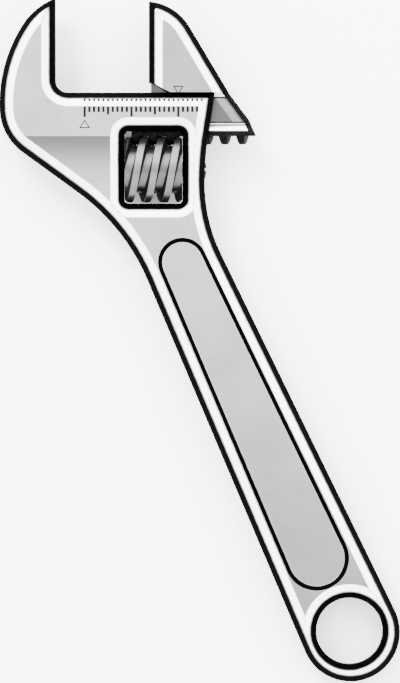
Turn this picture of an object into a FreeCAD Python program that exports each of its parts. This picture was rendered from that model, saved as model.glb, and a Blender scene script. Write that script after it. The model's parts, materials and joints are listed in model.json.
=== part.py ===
import FreeCAD, Part

# Adjustable wrench, 150 mm class: a forged frame with a handle, a sliding jaw, the worm that
# drives it, the worm's pin and the worm's take-up spring.
#
# +X is the way the sliding jaw opens, +Y points past the jaw tips and +Z stands off the flat of
# the wrench. The origin is on the fixed jaw's gripping face, half way through its thickness.
# Lengths are millimetres, and angles are degrees from +X.
import math
import os

from FreeCAD import Placement, Rotation, Vector

doc = FreeCAD.newDocument("adjustable_wrench")
sheet = doc.addObject("Spreadsheet::Sheet", "sizes")

SIZES = {
    # the forging: thickness and edges
    "head_thickness": 11.0,
    "handle_thickness": 8.0,
    "jaw_thickness": 10.6,
    "crease_y": -20.6,
    "slope_end_y": -33.5,
    "crease_radius": 2.0,
    "rim_radius": 1.2,
    "match_tolerance": 0.01,
    # outline of the head
    "tip_y": 9.2,
    "tip_heading": 203.0,
    "tip_flat": 0.54,
    "back_radius_top": 14.4,
    "back_turn_top": 34.0,
    "back_radius_mid": 31.0,
    "back_turn_mid": 36.0,
    "heel_radius": 11.5,
    "heel_turn": 51.0,
    "deck_y": -11.0,
    "throat_radius": 2.7,
    "head_right_x": 34.14,
    "head_side_turn": 8.7,
    "head_side_radius": 66.0,
    # neck and handle
    "neck_left_radius": 44.6,
    "neck_right_radius": 34.9,
    "handle_left_heading": 293.0,
    "handle_right_heading": 116.0,
    "end_x": 63.17,
    "end_y": -126.45,
    "end_radius": 10.6,
    # hanging hole
    "hang_x": 62.95,
    "hang_y": -126.2,
    "hang_radius": 7.1,
    "hang_land": 4.0,
    "hang_flank": 1.2,
    "hang_bevel": 1.6,
    "hang_bevel_depth": 0.45,
    # panel sunk into each side of the handle
    "panel_depth": 1.1,
    "panel_wall": 0.9,
    "panel_top_x": 27.2,
    "panel_top_y": -47.3,
    "panel_top_radius": 5.25,
    "panel_low_x": 55.9,
    "panel_low_y": -110.6,
    "panel_low_radius": 6.94,
    # window for the worm
    "window_left": 14.75,
    "window_right": 27.25,
    "window_top": -19.3,
    "window_bottom": -34.75,
    "window_corner": 0.9,
    # the rod, its bore and the web's slot
    "rod_y": -19.7,
    "rod_radius": 2.35,
    "rod_clearance": 0.1,
    "rod_left": 16.3,
    "bore_left": -4.0,
    "web_thickness": 2.6,
    "slot_thickness": 2.8,
    "slot_left": 0.1,
    # sliding jaw, drawn this far open
    "opening": 20.0,
    "jaw_tip_y": 8.5,
    "jaw_tip_heading": -4.5,
    "jaw_nose_radius": 11.2,
    "jaw_back_heading": -59.2,
    "jaw_sole_gap": 0.05,
    "relief_y": -8.9,
    "relief_step": 0.4,
    "relief_end": 4.6,
    "web_left": 0.45,
    "web_back_y": -16.8,
    "web_back_heading": -53.4,
    "rod_end_heading": -66.0,
    "rod_right": 44.0,
    # worm and rack
    "worm_y": -27.4,
    "worm_radius": 7.07,
    "worm_root": 5.0,
    "worm_length": 12.3,
    "worm_end_chamfer": 0.6,
    "tooth_pitch": 3.75,
    "starts": 2.0,
    "thread_crest": 1.4,
    "thread_flare": 0.21,
    "thread_overlap": 0.3,
    "rack_root_y": -20.2,
    "rack_first_x": 17.55,
    "rack_tip_width": 1.15,
    "rack_base_width": 1.9,
    # pin and spring
    "pin_radius": 1.6,
    "pin_clearance": 0.04,
    "pin_left": 9.5,
    "pin_head_radius": 2.0,
    "pin_head_left": 29.4,
    "pin_head_right": 32.0,
    "pin_dome": 0.4,
    "pin_lead_in": 0.4,
    "pin_slot_width": 0.6,
    "spring_bore_radius": 3.0,
    "spring_bore_depth": 4.0,
    "spring_radius": 2.3,
    "spring_wire": 0.5,
    "spring_turns": 4.5,
    "spring_slack": 0.05,
}

for row, (alias, value) in enumerate(SIZES.items(), start=1):
    sheet.set("A%d" % row, alias)
    sheet.set("B%d" % row, str(value))
    sheet.setAlias("B%d" % row, alias)
doc.recompute()


def size(alias):
    """A driving dimension, read from the sheet."""
    return float(sheet.get(alias))


# ------------------------------------------------------------------ outlines
def unit(heading):
    return Vector(math.cos(math.radians(heading)), math.sin(math.radians(heading)), 0)


def left_of(heading):
    return unit(heading + 90)


def arc_span(heading, radius, turn):
    """The step from the start to the end of a tangent arc; a positive turn bends left."""
    side = math.copysign(1.0, turn)
    return (left_of(heading) - left_of(heading + turn)) * (radius * side)


def lengths_to(gap, heading_a, heading_b):
    """How far to go along two headings, one after the other, to cover the gap."""
    a, b = unit(heading_a), unit(heading_b)
    cross = a.x * b.y - a.y * b.x
    return (gap.x * b.y - gap.y * b.x) / cross, (a.x * gap.y - a.y * gap.x) / cross


class Outline:
    """Lines and tangent arcs, one after the other, from a start point and a heading."""

    def __init__(self, start, heading):
        self.point = start
        self.heading = heading
        self.pieces = []

    def line(self, length):
        end = self.point + unit(self.heading) * length
        self.pieces.append(Part.LineSegment(self.point, end))
        self.point = end
        return self

    def line_to(self, end):
        self.pieces.append(Part.LineSegment(self.point, end))
        self.heading = math.degrees(math.atan2(end.y - self.point.y, end.x - self.point.x))
        self.point = end
        return self

    def arc(self, radius, turn):
        middle = self.point + arc_span(self.heading, radius, turn / 2)
        end = self.point + arc_span(self.heading, radius, turn)
        self.pieces.append(Part.Arc(self.point, middle, end))
        self.point = end
        self.heading += turn
        return self


def polygon(points):
    """Straight pieces round a list of (x, y) points, closed."""
    corners = [Vector(x, y, 0) for x, y in points]
    return [Part.LineSegment(a, b) for a, b in zip(corners, corners[1:] + corners[:1])]


def rounded_box(left, right, bottom, top, radius):
    path = Outline(Vector(left + radius, bottom, 0), 0)
    for side in (right - left, top - bottom, right - left, top - bottom):
        path.line(side - 2 * radius).arc(radius, 90)
    return path.pieces


def frame_outline():
    """Fixed jaw, heel, neck, handle, neck again, head's side, deck and throat."""
    tip = Vector(0, size("tip_y"), 0)
    end_centre = Vector(size("end_x"), size("end_y"), 0)
    end_radius = size("end_radius")
    left, right = size("handle_left_heading"), size("handle_right_heading")
    head_side = 90 - size("head_side_turn")
    corner = Vector(size("head_right_x"), size("deck_y"), 0)

    path = Outline(tip, size("tip_heading"))
    path.line(size("tip_flat"))
    path.arc(size("back_radius_top"), size("back_turn_top"))
    path.arc(size("back_radius_mid"), size("back_turn_mid"))
    path.arc(size("heel_radius"), size("heel_turn"))
    heel = path.heading
    gap = end_centre - left_of(left) * end_radius - path.point
    gap = gap - arc_span(heel, size("neck_left_radius"), left - heel)
    heel_length, handle_length = lengths_to(gap, heel, left)
    path.line(heel_length).arc(size("neck_left_radius"), left - heel).line(handle_length)
    path.arc(end_radius, right + 360 - left)
    gap = corner - path.point - arc_span(right, size("neck_right_radius"), 90 - right)
    gap = gap - arc_span(90, size("head_side_radius"), head_side - 90)
    handle_length = lengths_to(gap, right, head_side)[0]
    path.line(handle_length).arc(size("neck_right_radius"), 90 - right)
    path.arc(size("head_side_radius"), head_side - 90)
    path.line_to(corner)
    throat = size("throat_radius")
    path.line_to(Vector(throat, size("deck_y"), 0))
    path.arc(throat, -90)
    path.line_to(tip)
    return path.pieces


def panel_outline(inset):
    """A stadium with a small end at the neck and a large end at the hanging hole."""
    small = Vector(size("panel_top_x"), size("panel_top_y"), 0)
    large = Vector(size("panel_low_x"), size("panel_low_y"), 0)
    small_radius = size("panel_top_radius") - inset
    large_radius = size("panel_low_radius") - inset
    axis = math.degrees(math.atan2(large.y - small.y, large.x - small.x))
    flare = math.degrees(math.asin((large_radius - small_radius) / (large - small).Length))
    path = Outline(small - left_of(axis - flare) * small_radius, axis - flare)
    path.line_to(large - left_of(axis - flare) * large_radius)
    path.arc(large_radius, 180 + 2 * flare)
    path.line_to(small + left_of(axis + flare) * small_radius)
    path.arc(small_radius, 180 - 2 * flare)
    return path.pieces


# ------------------------------------------------------- parametric features
def new_body(label):
    body = doc.addObject("PartDesign::Body", label)
    body.Label = label
    return body


def new_sketch(body, name, plane, pieces, shift=Vector()):
    """A sketch on one of the body's own origin planes, moved in the plane and along its normal."""
    sketch = body.newObject("Sketcher::SketchObject", name)
    origin_planes = [f for f in body.Origin.OriginFeatures if f.Role == plane]
    sketch.AttachmentSupport = [(origin_planes[0], "")]
    sketch.MapMode = "FlatFace"
    sketch.AttachmentOffset = Placement(shift, Rotation())
    sketch.addGeometry(pieces, False)
    return sketch


def finish_feature(body, feature):
    body.Tip = feature
    doc.recompute()
    return feature


def pad(body, name, sketch, length):
    """Add the sketch's area, half its length to each side."""
    feature = body.newObject("PartDesign::Pad", name)
    feature.Profile = sketch
    feature.SideType = "Symmetric"
    feature.setExpression("Length", length)
    return finish_feature(body, feature)


def check_cut(body, name, before):
    """A cut that points away from the solid removes nothing and shows no error by itself."""
    if body.Shape.Volume >= before:
        raise ValueError(name + " cuts nothing")


def pocket(body, name, sketch, length=None, both=True, reverse=False):
    """Cut the sketch's area away; with no length it goes through everything."""
    before = body.Shape.Volume
    feature = body.newObject("PartDesign::Pocket", name)
    feature.Profile = sketch
    if both:
        feature.SideType = "Symmetric"
    feature.Reversed = reverse
    if length is None:
        feature.Type = "ThroughAll"
    else:
        feature.setExpression("Length", length)
    finish_feature(body, feature)
    check_cut(body, name, before)
    return feature


def groove(body, name, sketch):
    """Turn the sketch's area away round the sketch's own upright axis."""
    before = body.Shape.Volume
    feature = body.newObject("PartDesign::Groove", name)
    feature.Profile = sketch
    feature.ReferenceAxis = (sketch, ["V_Axis"])
    feature.Angle = 360
    finish_feature(body, feature)
    check_cut(body, name, before)
    return feature


def round_rims(body, name, outline, least_height):
    """Round the upper and lower edges that run along an outline."""
    flank = Part.Wire([piece.toShape() for piece in outline])
    near_start, middle, near_end = 0.1, 0.5, 0.9
    rims = []
    for number, edge in enumerate(body.Shape.Edges, start=1):
        along = [edge.valueAt(edge.getParameterByLength(edge.Length * share))
                 for share in (near_start, middle, near_end)]
        feet = [Part.Vertex(point.x, point.y, 0) for point in along]
        on_flank = max(foot.distToShape(flank)[0] for foot in feet) < size("match_tolerance")
        if on_flank and min(abs(point.z) for point in along) > least_height:
            rims.append("Edge%d" % number)
    base = body.Tip
    feature = body.newObject("PartDesign::Fillet", name)
    feature.Base = (base, rims)
    feature.setExpression("Radius", "sizes.rim_radius")
    return finish_feature(body, feature)


# --------------------------------------------------------------------- frame
def thinning_profile(side):
    """What is cut from the forging's upper (1) or lower (-1) face to bring the head down to the
    handle: a crisp crease below the window's top, a hollow slope and the handle's flat, drawn
    with Y across and Z up."""
    head = size("head_thickness") / 2
    handle = size("handle_thickness") / 2
    crease, slope_end = size("crease_radius"), size("slope_end_y")
    run, drop = size("crease_y") - slope_end, head - handle
    slope = (run ** 2 + drop ** 2) / (2 * drop)
    reach = slope + crease
    start = math.sqrt(reach ** 2 - (handle + slope - head + crease) ** 2)
    angle = math.degrees(math.asin(start / reach))
    corner = Vector(slope_end + start, head, 0)
    beyond = size("end_y") - 2 * size("end_radius")

    path = Outline(corner, 180)
    path.arc(crease, angle).arc(slope, -angle)
    path.line_to(Vector(beyond, handle, 0))
    path.line_to(Vector(beyond, 2 * head, 0))
    path.line_to(Vector(corner.x, 2 * head, 0))
    path.line_to(corner)
    if side < 0:
        for piece in path.pieces:
            piece.mirror(Vector(0, 0, 0), Vector(1, 0, 0))
    return path.pieces


def hanging_hole_profile():
    """Half the section of the hole, with its axis upright: a cylindrical land at mid-thickness,
    a steep flank and a shallow bevel out to each face."""
    radius, land = size("hang_radius"), size("hang_land") / 2
    face = size("handle_thickness") / 2
    lip = face - size("hang_bevel_depth")
    mouth = radius + size("hang_flank")
    edge = mouth + size("hang_bevel")
    above = 2 * face
    upper = [(radius, land), (mouth, lip), (edge, face), (edge, above), (0, above)]
    lower = [(x, -y) for x, y in reversed(upper)]
    return polygon(lower + upper)


def circle(x, y, radius):
    return [Part.Circle(Vector(x, y, 0), Vector(0, 0, 1), radius)]


def build_frame():
    body = new_body("wrench_frame")
    outline = frame_outline()
    pad(body, "forging", new_sketch(body, "outline", "XY_Plane", outline), "sizes.head_thickness")
    for side, name in ((1, "upper"), (-1, "lower")):
        profile = thinning_profile(side)
        pocket(body, name + "_slope", new_sketch(body, name + "_profile", "YZ_Plane", profile))
    round_rims(body, "rims", outline, size("handle_thickness") / 4)

    window = rounded_box(size("window_left"), size("window_right"), size("window_bottom"),
                         size("window_top"), size("window_corner"))
    pocket(body, "window", new_sketch(body, "window_outline", "XY_Plane", window))

    hole = new_sketch(body, "hole_section", "XZ_Plane", hanging_hole_profile(),
                      Vector(size("hang_x"), 0, -size("hang_y")))
    groove(body, "hanging_hole", hole)

    for side, name in ((1, "upper"), (-1, "lower")):
        floor = size("handle_thickness") / 2 - size("panel_depth")
        panel = new_sketch(body, name + "_panel_outline", "XY_Plane",
                           panel_outline(size("panel_wall")), Vector(0, 0, side * floor))
        pocket(body, name + "_panel", panel, both=False, reverse=side > 0)

    slot = polygon([(size("slot_left"), size("rod_y")), (size("slot_left"), -size("throat_radius")),
                    (2 * size("head_right_x"), -size("throat_radius")),
                    (2 * size("head_right_x"), size("rod_y"))])
    pocket(body, "web_slot", new_sketch(body, "slot_outline", "XY_Plane", slot),
           "sizes.slot_thickness")
    bore = circle(size("rod_y"), 0, size("rod_radius") + size("rod_clearance"))
    pocket(body, "rod_bore", new_sketch(body, "bore_outline", "YZ_Plane", bore,
                                        Vector(0, 0, size("bore_left"))), both=False, reverse=True)
    shank = circle(size("worm_y"), 0, size("pin_radius") + size("pin_clearance"))
    pocket(body, "pin_hole", new_sketch(body, "pin_outline", "YZ_Plane", shank,
                                        Vector(0, 0, size("pin_left"))), both=False, reverse=True)
    head = circle(size("worm_y"), 0, size("pin_head_radius") + size("pin_clearance"))
    pocket(body, "pin_seat", new_sketch(body, "seat_outline", "YZ_Plane", head,
                                        Vector(0, 0, size("pin_head_left"))), both=False, reverse=True)
    return body


# --------------------------------------------------------------- sliding jaw
def jaw_outline():
    """The full-thickness part: gripping face, rounded nose, slanted back, sole and relief."""
    face, tip_y = size("opening"), size("jaw_tip_y")
    start, back = size("jaw_tip_heading"), size("jaw_back_heading")
    sole = size("deck_y") + size("jaw_sole_gap")
    path = Outline(Vector(face, tip_y, 0), start)
    path.arc(size("jaw_nose_radius"), back - start)
    path.line((sole - path.point.y) / unit(back).y)
    heel = path.point
    path.line_to(Vector(face + size("relief_end"), sole, 0))
    path.line_to(Vector(face + size("relief_step"), size("relief_y"), 0))
    path.line_to(Vector(face, size("relief_y"), 0))
    path.line_to(Vector(face, tip_y, 0))
    return path.pieces, heel


def web_outline(heel):
    """The thin plate in the slot, from inside the jaw down to the middle of the rod."""
    left, rod_y = size("opening") + size("web_left"), size("rod_y")
    slant, end = unit(size("web_back_heading")), unit(size("rod_end_heading"))
    knee = heel + slant * ((size("web_back_y") - heel.y) / slant.y)
    foot = knee + end * ((rod_y - knee.y) / end.y)
    inside_y = size("relief_y") + size("relief_step")
    inside_x = heel.x - (inside_y - heel.y)
    return polygon([(left, inside_y), (left, rod_y), (foot.x, rod_y), (knee.x, knee.y),
                    (heel.x, heel.y), (inside_x, inside_y)]), knee


def rack_gaps():
    """What is cut from the rod's underside to leave the rack's teeth."""
    pitch, root_y = size("tooth_pitch"), size("rack_root_y")
    half_base, half_tip = size("rack_base_width") / 2, size("rack_tip_width") / 2
    below = size("rod_y") - 2 * size("rod_radius")
    tip_y = size("rod_y") - size("rod_radius")
    flare = (half_base - half_tip) / (root_y - tip_y)
    half_below = half_base - flare * (root_y - below)
    count = int((size("rod_right") - size("rack_first_x")) // pitch)
    teeth = [size("rack_first_x") + pitch * number for number in range(count)]
    teeth = [size("rod_left") - pitch] + teeth + [size("rod_right") + pitch]
    outlines = []
    for tooth, following in zip(teeth, teeth[1:]):
        outlines += polygon([(tooth + half_base, root_y), (tooth + half_below, below),
                             (following - half_below, below), (following - half_base, root_y)])
    return outlines


def build_jaw():
    body = new_body("movable_jaw")
    outline, heel = jaw_outline()
    pad(body, "jaw", new_sketch(body, "jaw_outline", "XY_Plane", outline), "sizes.jaw_thickness")
    round_rims(body, "rims", outline[:2] + outline[-1:], size("jaw_thickness") / 4)
    web, knee = web_outline(heel)
    pad(body, "web", new_sketch(body, "web_outline", "XY_Plane", web), "sizes.web_thickness")

    rod = new_sketch(body, "rod_section", "YZ_Plane",
                     circle(size("rod_y"), 0, size("rod_radius")), Vector(0, 0, size("rod_left")))
    feature = body.newObject("PartDesign::Pad", "rod")
    feature.Profile = rod
    feature.setExpression("Length", "sizes.rod_right - sizes.rod_left")
    finish_feature(body, feature)

    end = unit(size("rod_end_heading"))
    low = knee + end * (4 * size("rod_radius"))
    beyond = 2 * size("rod_right")
    trim = polygon([(knee.x, knee.y), (low.x, low.y), (beyond, low.y), (beyond, knee.y)])
    pocket(body, "rod_end", new_sketch(body, "end_outline", "XY_Plane", trim))

    # the rack's teeth lean along the worm's thread, so the cut starts behind and to one side
    lead = size("tooth_pitch") * size("starts")
    lean = lead / (math.pi * (size("worm_radius") + size("worm_root")))
    depth = 2 * size("rod_radius")
    gaps = new_sketch(body, "gap_outlines", "XY_Plane", rack_gaps(), Vector(lean * depth, 0, -depth))
    before = body.Shape.Volume
    cut = body.newObject("PartDesign::Pocket", "rack")
    cut.Profile = gaps
    cut.UseCustomVector = True
    cut.Direction = Vector(-lean, 0, 1)
    cut.Length = 2 * depth * math.hypot(lean, 1)
    finish_feature(body, cut)
    check_cut(body, "rack", before)
    return body


# ---------------------------------------------------------------------- worm
def along_worm(x):
    """Lays what was made round +Z along +X, on the worm's axis, starting at x."""
    return Placement(Vector(x, size("worm_y"), 0), Rotation(Vector(1, 1, 1), 120))


def build_worm():
    """A root cylinder with left-hand threads, bored for the pin and its spring."""
    radius, root, length = size("worm_radius"), size("worm_root"), size("worm_length")
    pitch, starts = size("tooth_pitch"), int(size("starts"))
    lead = pitch * starts
    middle = (size("window_left") + size("window_right")) / 2
    left = middle - length / 2
    sink, proud = root - size("thread_overlap"), radius + size("thread_overlap")
    half_crest = size("thread_crest") / 2
    flare = size("thread_flare")
    corners = [Vector(sink, 0, -half_crest - flare * (radius - sink)),
               Vector(proud, 0, -half_crest - flare * (radius - proud)),
               Vector(proud, 0, half_crest + flare * (radius - proud)),
               Vector(sink, 0, half_crest + flare * (radius - sink))]
    profile = Part.makePolygon(corners + corners[:1])
    helix = Part.makeHelix(lead, length + 2 * lead, radius, 0, True)
    thread = Part.Wire(helix.Edges).makePipeShell([profile], True, True)

    # a crest passes the top of the worm half way between two of the rack's teeth
    crest_x = size("rack_first_x") + pitch / 2
    while crest_x > left - lead - pitch:
        crest_x -= pitch
    start, axis = Vector(left, size("worm_y"), 0), Vector(1, 0, 0)
    blank = Part.makeCylinder(radius, length, start, axis)
    rims = [edge for edge in blank.Edges if edge.BoundBox.XLength < size("match_tolerance")]
    blank = blank.makeChamfer(size("worm_end_chamfer"), rims)
    thread.Placement = along_worm(crest_x)
    thread = thread.common(blank)
    shape = Part.makeCylinder(root, length, start, axis)
    for number in range(starts):
        turned = thread.copy()
        turned.rotate(start, axis, 360 / starts * number)
        fused = shape.fuse(turned)
        if fused.Volume <= shape.Volume:
            raise ValueError("a thread adds nothing to the worm")
        shape = fused
    axis_start = Vector(left - 1, size("worm_y"), 0)
    shape = shape.cut(Part.makeCylinder(size("pin_radius") + size("pin_clearance"), length + 2,
                                        axis_start, Vector(1, 0, 0)))
    shape = shape.cut(Part.makeCylinder(size("spring_bore_radius"), size("spring_bore_depth") + 1,
                                        axis_start, Vector(1, 0, 0)))
    worm = doc.addObject("Part::Feature", "adjusting_worm")
    worm.Label = "adjusting_worm"
    worm.Shape = shape.removeSplitter()
    return worm


# ------------------------------------------------------------ pin and spring
def build_pin():
    """The worm's axle: a plain shank, a cheese head with a domed end and a driver slot."""
    body = new_body("worm_pin")
    left, right = size("pin_left"), size("pin_head_right")
    shank, head, neck = size("pin_radius"), size("pin_head_radius"), size("pin_head_left")
    dome = size("pin_dome")
    lead_in = size("pin_lead_in")
    path = Outline(Vector(left, 0, 0), 90)
    path.line_to(Vector(left, shank - lead_in, 0)).line_to(Vector(left + lead_in, shank, 0))
    path.line_to(Vector(neck, shank, 0)).line_to(Vector(neck, head, 0))
    path.line_to(Vector(right, head, 0))
    dome_radius = (head ** 2 + dome ** 2) / (2 * dome)
    turn = -math.degrees(math.asin(head / dome_radius))
    path.heading = -90 - turn
    path.arc(dome_radius, turn)
    path.line_to(Vector(left, 0, 0))
    section = new_sketch(body, "section", "XY_Plane", path.pieces, Vector(0, size("worm_y"), 0))
    feature = body.newObject("PartDesign::Revolution", "turning")
    feature.Profile = section
    feature.ReferenceAxis = (section, ["H_Axis"])
    feature.Angle = 360
    finish_feature(body, feature)

    half = size("pin_slot_width") / 2
    slot = polygon([(right - dome, size("worm_y") - half), (right + head, size("worm_y") - half),
                    (right + head, size("worm_y") + half), (right - dome, size("worm_y") + half)])
    pocket(body, "driver_slot", new_sketch(body, "slot_outline", "XY_Plane", slot))
    return body


def build_spring():
    """An open coil between the window's wall and the floor of the worm's spring bore."""
    wire, radius, turns = size("spring_wire") / 2, size("spring_radius"), size("spring_turns")
    slack = size("spring_slack")
    middle = (size("window_left") + size("window_right")) / 2
    floor = middle - size("worm_length") / 2 + size("spring_bore_depth")
    first = size("window_left") + wire + slack
    height = floor - wire - slack - first
    helix = Part.makeHelix(height / turns, height, radius)
    section = Part.Wire(Part.makeCircle(wire, Vector(radius, 0, 0), Vector(0, 1, 0)))
    coil = Part.Wire(helix.Edges).makePipeShell([section], True, True)
    spring = doc.addObject("Part::Feature", "worm_spring")
    spring.Label = "worm_spring"
    spring.Shape = coil
    spring.Placement = along_worm(first)
    return spring


# ------------------------------------------------------------------- writing
def write_parts(nodes):
    doc.recompute()
    for item in doc.Objects:
        if "Invalid" in item.State or "Error" in item.State:
            raise ValueError(item.Label + " did not recompute")
    os.makedirs("parts", exist_ok=True)
    for node in nodes:
        if node.Shape.isNull() or not node.Shape.isValid():
            raise ValueError(node.Label + " has no valid shape")
        node.Shape.exportStep("parts/" + node.Label + ".step")
        print(node.Label, "%.1f mm3" % node.Shape.Volume, len(node.Shape.Solids), "solid")


write_parts([build_frame(), build_jaw(), build_worm(), build_pin(), build_spring()])
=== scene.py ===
import json
import math

import bmesh
import bpy
import numpy as np
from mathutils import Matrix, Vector
from mathutils.geometry import delaunay_2d_cdt


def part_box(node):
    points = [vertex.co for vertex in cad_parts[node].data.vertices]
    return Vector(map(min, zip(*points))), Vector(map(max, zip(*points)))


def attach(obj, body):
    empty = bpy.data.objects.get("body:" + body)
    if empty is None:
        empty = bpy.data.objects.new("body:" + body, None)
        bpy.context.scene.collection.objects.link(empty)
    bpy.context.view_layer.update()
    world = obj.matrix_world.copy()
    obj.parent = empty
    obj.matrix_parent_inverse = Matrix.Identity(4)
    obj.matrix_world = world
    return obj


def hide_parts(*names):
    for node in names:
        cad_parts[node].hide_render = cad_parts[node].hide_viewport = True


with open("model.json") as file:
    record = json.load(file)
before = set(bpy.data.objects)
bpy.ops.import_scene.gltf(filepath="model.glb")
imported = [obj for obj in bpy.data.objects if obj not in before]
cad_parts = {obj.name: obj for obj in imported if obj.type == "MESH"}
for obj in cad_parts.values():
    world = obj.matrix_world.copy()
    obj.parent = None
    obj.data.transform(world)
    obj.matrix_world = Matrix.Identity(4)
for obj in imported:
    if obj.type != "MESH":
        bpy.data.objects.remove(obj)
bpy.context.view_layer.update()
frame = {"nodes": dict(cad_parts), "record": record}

# Shapes are worked out in millimetres, in the CAD frame, and become metres in new_object().
MM = 0.001
WELD = 1e-7               # metres: vertices nearer than this are one
MARGIN = 1.0              # how far a cutter or a row of points runs past what it crosses
ROUND_SIDES = 96          # points round a bore or hole


# ---------------------------------------------------------------- the frame's own measures
def corners(node):
    """A CAD node's lowest and highest corners, in millimetres."""
    low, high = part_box(node)
    return Vector(low) / MM, Vector(high) / MM


def vertices_of(node):
    mesh = frame["nodes"][node].data
    flat = np.empty(len(mesh.vertices) * 3, np.float32)
    mesh.vertices.foreach_get("co", flat)
    return flat.reshape(-1, 3).astype(float) / MM


def mount(name):
    return next(entry for entry in frame["record"]["mounts"] if entry["name"] == name)


FRAME_LOW, FRAME_HIGH = corners("wrench_frame")
JAW_LOW, JAW_HIGH = corners("movable_jaw")
WORM_LOW, WORM_HIGH = corners("adjusting_worm")
PIN_LOW, PIN_HIGH = corners("worm_pin")
FRAME_POINTS = vertices_of("wrench_frame")

HEAD_FACE = FRAME_HIGH.z                      # height of the head's face over the middle plane
HANDLE_END = FRAME_POINTS[FRAME_POINTS[:, 1] < FRAME_LOW.y + 40]
HANDLE_FACE = HANDLE_END[:, 2].max()
ON_HEAD_FACE = np.abs(FRAME_POINTS[:, 2] - HEAD_FACE) < 0.001
ON_HANDLE_FACE = np.abs(FRAME_POINTS[:, 2] - HANDLE_FACE) < 0.001
CREASE_Y = FRAME_POINTS[ON_HEAD_FACE, 1].min()
SLOPE_END_Y = FRAME_POINTS[ON_HANDLE_FACE, 1].max()
HOLE_CENTRE = Vector(mount("hanging_hole")["pos_m"][:2]) / MM
HOLE_RADIUS = mount("hanging_hole")["dims"]["r_mm"]
JAW_FACE = JAW_HIGH.z
WORM_Y = (WORM_LOW.y + WORM_HIGH.y) / 2
WORM_RADIUS = WORM_HIGH.z
WORM_POINTS = vertices_of("adjusting_worm")
WORM_RADII = np.hypot(WORM_POINTS[:, 1] - WORM_Y, WORM_POINTS[:, 2])
WORM_ROOT = WORM_RADII[WORM_RADII > WORM_RADIUS / 2].min()      # leaves out the bore

# ---------------------------------------------------------------- edge treatment, millimetres
FLANK_WIDTH = 1.26       # the blackened flank seen from above
FLANK_SLOPE = 1.15       # how steeply it falls
BEVEL_END = 2.95         # where the polished bevel meets the satin face
BEVEL_SLOPE = 0.253
WALL_WIDTH = 0.9         # the sunk panel's wall, seen from above
PANEL_DEPTH = 1.1
RIM_RADIUS = 0.3         # rounds the flank over into the upright wall
FLANK_SOFT, BEVEL_SOFT, WALL_SOFT, CREASE_SOFT = 0.08, 0.14, 0.10, 0.03
SLOPE_ROWS = 14          # rows of points down the hollow slope
SECTION_Z = 2.6          # clear of the bores below it and the rounded rims above it
PANEL_SECTION_Z = 3.5    # between the sunk panel's floor and the handle's face


def ramp(x, soft):
    """0 for negative x and x for positive x, with the corner rounded over 2 * soft."""
    return np.where(x > soft, x, np.where(x < -soft, 0.0, (x + soft) ** 2 / (4 * soft)))


def edge_drop(distance):
    """How far the surface lies below the face, this far in from the edge."""
    bevel = BEVEL_SLOPE * ramp(BEVEL_END - distance, BEVEL_SOFT)
    flank = (FLANK_SLOPE - BEVEL_SLOPE) * ramp(FLANK_WIDTH - distance, FLANK_SOFT)
    share = np.clip(distance / RIM_RADIUS, 0, 1)
    return bevel + flank + RIM_RADIUS * (1 - np.sqrt(share * (2 - share)))


# Where rings of points run: in from an edge, and outward from the sunk floor's edge.
EDGE_RINGS = (0.01, 0.05, 0.13, RIM_RADIUS, 0.6, FLANK_WIDTH - FLANK_SOFT, FLANK_WIDTH,
              FLANK_WIDTH + FLANK_SOFT, 1.6, 2.2, BEVEL_END - BEVEL_SOFT, BEVEL_END,
              BEVEL_END + BEVEL_SOFT, 3.5)
WALL_RINGS = (-0.5, -WALL_SOFT, 0.0, WALL_SOFT, WALL_WIDTH / 2, WALL_WIDTH - WALL_SOFT, WALL_WIDTH,
              WALL_WIDTH + WALL_SOFT)


def face_height(y):
    """Head, crease, hollow slope and handle."""
    run, drop = CREASE_Y - SLOPE_END_Y, HEAD_FACE - HANDLE_FACE
    radius = (run ** 2 + drop ** 2) / (2 * drop)
    across = np.clip(y - SLOPE_END_Y, 0, radius * 0.99)
    slope = HANDLE_FACE + radius - np.sqrt(radius ** 2 - across ** 2)
    return HEAD_FACE - ramp(HEAD_FACE - slope, CREASE_SOFT)


# ---------------------------------------------------------------- chains of points in plan
POINT_SPACING = 1.0
LINK_REACH = 1.7 * POINT_SPACING      # kept points of a chain are joined up to this far apart
LEAST_TURN = math.radians(0.3)        # a smaller turn counts as straight
CORNER_STRETCH = 1.03                 # the length of left_normals() past which a point is a corner
RING_TOLERANCE = 0.02                 # how much nearer to a guide a ring may come than its offset
RIDGE_HALVINGS = 24                   # steps in the search for a ridge
SAME_POINT = 1e-5                     # points of the plan nearer than this are one


def section_loops(node, height):
    """The closed outlines where a level plane cuts a CAD node, as arrays of (x, y)."""
    mesh = bmesh.new()
    mesh.from_mesh(frame["nodes"][node].data)
    bmesh.ops.remove_doubles(mesh, verts=mesh.verts, dist=WELD)
    cut = bmesh.ops.bisect_plane(mesh, geom=mesh.verts[:] + mesh.edges[:] + mesh.faces[:],
                                 plane_co=(0, 0, height * MM), plane_no=(0, 0, 1))
    edges = [item for item in cut["geom_cut"] if isinstance(item, bmesh.types.BMEdge)]
    beside = {}
    for edge in edges:
        for a, b in (edge.verts, reversed(edge.verts)):
            beside.setdefault(a, []).append(b)
    loops = []
    while beside:
        start = next(iter(beside))
        path, here, before = [start], start, None
        while True:
            onward = [v for v in beside.pop(here) if v is not before]
            before, here = here, onward[0]
            if here is start or here not in beside:
                break
            path.append(here)
        loops.append(without_straight_points(np.array([v.co[:2] for v in path]) / MM))
    mesh.free()
    return loops


def without_straight_points(loop):
    before, after = np.roll(loop, 1, axis=0), np.roll(loop, -1, axis=0)
    into, out = loop - before, after - loop
    turn = into[:, 0] * out[:, 1] - into[:, 1] * out[:, 0]
    turn = np.arctan2(np.abs(turn), (into * out).sum(axis=1))
    return loop[turn > LEAST_TURN]


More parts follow.
